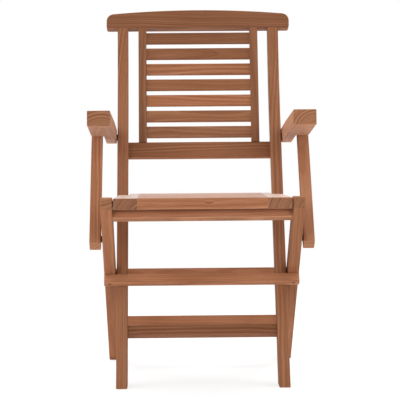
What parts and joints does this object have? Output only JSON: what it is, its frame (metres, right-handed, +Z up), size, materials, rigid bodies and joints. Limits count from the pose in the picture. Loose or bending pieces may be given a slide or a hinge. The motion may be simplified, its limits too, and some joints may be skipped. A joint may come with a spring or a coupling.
{
  "type": "folding armchair",
  "caption": "Slatted wooden folding armchair with crossed legs, a ladder of slats in the back and arms on slanting struts that fold with it",
  "frame": {"origin": "on the floor, at the middle of the box round the open chair", "axes": "+Z up, -Y the way a sitter faces, +X to the right of someone looking at the chair from the front"},
  "size_m": [0.5368, 0.5584, 0.906],
  "materials": {
    "teak": "satin",
    "bolt_brass": "dull",
    "spacer": "matte"
  },
  "bodies": {
    "back_frame": {"long_leg_left": "teak", "long_leg_right": "teak", "top_rail": "teak", "back_low_rail": "teak", "back_stile_left": "teak", "back_stile_right": "teak", "back_slat_1": "teak", "back_slat_2": "teak", "back_slat_3": "teak", "back_slat_4": "teak", "back_slat_5": "teak", "back_slat_6": "teak", "back_slat_7": "teak", "seat_rest_rail": "teak", "foot_rail": "teak", "cross_bolts": "bolt_brass", "arm_bolts": "bolt_brass", "cross_washers": "spacer", "arm_washers": "spacer"},
    "leg_frame": {"short_leg_left": "teak", "short_leg_right": "teak", "front_rail": "teak", "stop_rail": "teak", "brace_rail": "teak", "rear_rail": "teak", "stop_plugs": "teak", "seat_bolts": "bolt_brass", "support_bolts": "bolt_brass", "seat_washers": "spacer", "support_washers": "spacer"},
    "seat": {"seat_rail_left": "teak", "seat_rail_right": "teak", "seat_front_slat": "teak", "seat_slat_1": "teak", "seat_slat_2": "teak", "seat_slat_3": "teak", "seat_slat_4": "teak", "seat_slat_5": "teak", "seat_slat_6": "teak"},
    "arm_left": {"armrest_left": "teak"},
    "arm_right": {"armrest_right": "teak"},
    "support_left": {"arm_support_left": "teak", "support_pin_left": "bolt_brass"},
    "support_right": {"arm_support_right": "teak", "support_pin_right": "bolt_brass"}
  },
  "joints": [
    {"name": "fold", "type": "hinge", "parent": "back_frame", "child": "leg_frame", "pos_m": [0, -0.04136, 0.2524], "axis": [-1, 0, 0], "range_deg": [0, 66]},
    {"name": "seat_flip", "type": "hinge", "parent": "leg_frame", "child": "seat", "pos_m": [0, -0.25837, 0.44372], "axis": [1, 0, 0], "range_deg": [0, 135.31]},
    {"name": "arm_left_lift", "type": "hinge", "parent": "back_frame", "child": "arm_left", "pos_m": [0, 0.14117, 0.58169], "axis": [-1, 0, 0], "range_deg": [0, 88.71]},
    {"name": "support_left_swing", "type": "hinge", "parent": "leg_frame", "child": "support_left", "pos_m": [0, -0.15418, 0.35186], "axis": [1, 0, 0], "range_deg": [0, 74.13]},
    {"name": "arm_right_lift", "type": "hinge", "parent": "back_frame", "child": "arm_right", "pos_m": [0, 0.14117, 0.58169], "axis": [-1, 0, 0], "range_deg": [0, 88.71]},
    {"name": "support_right_swing", "type": "hinge", "parent": "leg_frame", "child": "support_right", "pos_m": [0, -0.15418, 0.35186], "axis": [1, 0, 0], "range_deg": [0, 74.13]}
  ],
  "couplings": [
    {"joint": "seat_flip", "follows": "fold", "ratio": 2.05},
    {"joint": "arm_left_lift", "follows": "fold", "ratio": 1.344},
    {"joint": "support_left_swing", "follows": "fold", "ratio": 1.123},
    {"joint": "arm_right_lift", "follows": "fold", "ratio": 1.344},
    {"joint": "support_right_swing", "follows": "fold", "ratio": 1.123}
  ]
}
